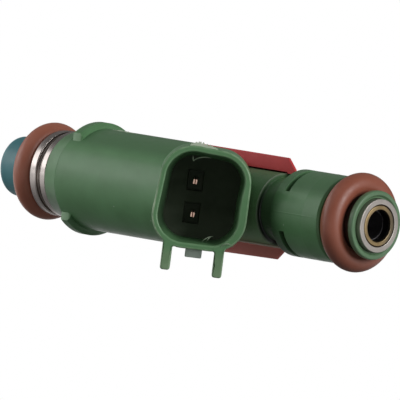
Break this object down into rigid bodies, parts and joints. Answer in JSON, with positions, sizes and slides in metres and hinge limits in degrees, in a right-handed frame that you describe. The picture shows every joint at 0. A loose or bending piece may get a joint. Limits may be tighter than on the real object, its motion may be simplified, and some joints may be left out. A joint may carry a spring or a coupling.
{
  "type": "fuel injector",
  "caption": "Top-feed port fuel injector with sealed ends, an angled electrical socket and a spring-closed ball valve.",
  "frame": {"origin": "centre of the nozzle cap's flat end, on the injector's axis", "axes": "+X along the axis from the spray end to the fuel inlet, -Y the side that carries the electrical socket, +Z away from the socket's guard rails"},
  "size_m": [0.0757, 0.0274, 0.019],
  "materials": {
    "green_plastic": "glass-filled nylon, satin",
    "green_collar": "nylon, satin gloss",
    "red_plastic": "nylon, satin",
    "teal_plastic": "nylon, satin",
    "brown_rubber": "fluorocarbon rubber, smooth",
    "turned_steel": "turned stainless steel",
    "magnetic_steel": "magnetic steel",
    "brass": "drawn brass",
    "copper": "copper alloy",
    "black_plastic": "moulded plastic"
  },
  "bodies": {
    "housing": {"overmold_body": "green_plastic", "rear_saddle": "red_plastic", "oring_collar": "green_collar", "upper_oring": "brown_rubber", "lower_oring": "brown_rubber", "nozzle_cap": "teal_plastic", "valve_body": "turned_steel", "seat_retainer": "turned_steel", "orifice_plate": "turned_steel", "valve_seat": "turned_steel", "ball_guide": "turned_steel", "nonmagnetic_ring": "turned_steel", "return_spring": "magnetic_steel", "adjusting_tube": "turned_steel", "inlet_tube": "turned_steel", "filter_ring": "brass", "filter_frame": "black_plastic", "filter_mesh": "turned_steel", "coil_bobbin": "black_plastic", "coil_winding": "copper", "coil_housing": "magnetic_steel", "flux_washer": "magnetic_steel", "terminal_upper": "copper", "terminal_lower": "copper"},
    "valve": {"armature": "magnetic_steel", "needle_tube": "turned_steel", "valve_ball": "magnetic_steel"}
  },
  "joints": [
    {"name": "valve_lift", "type": "slide", "parent": "housing", "child": "valve", "axis": [1, 0, 0], "range_m": [0, 0.0001], "stiffness_N_per_m": 200, "springref_m": -0.015, "deforming": ["return_spring"]}
  ]
}
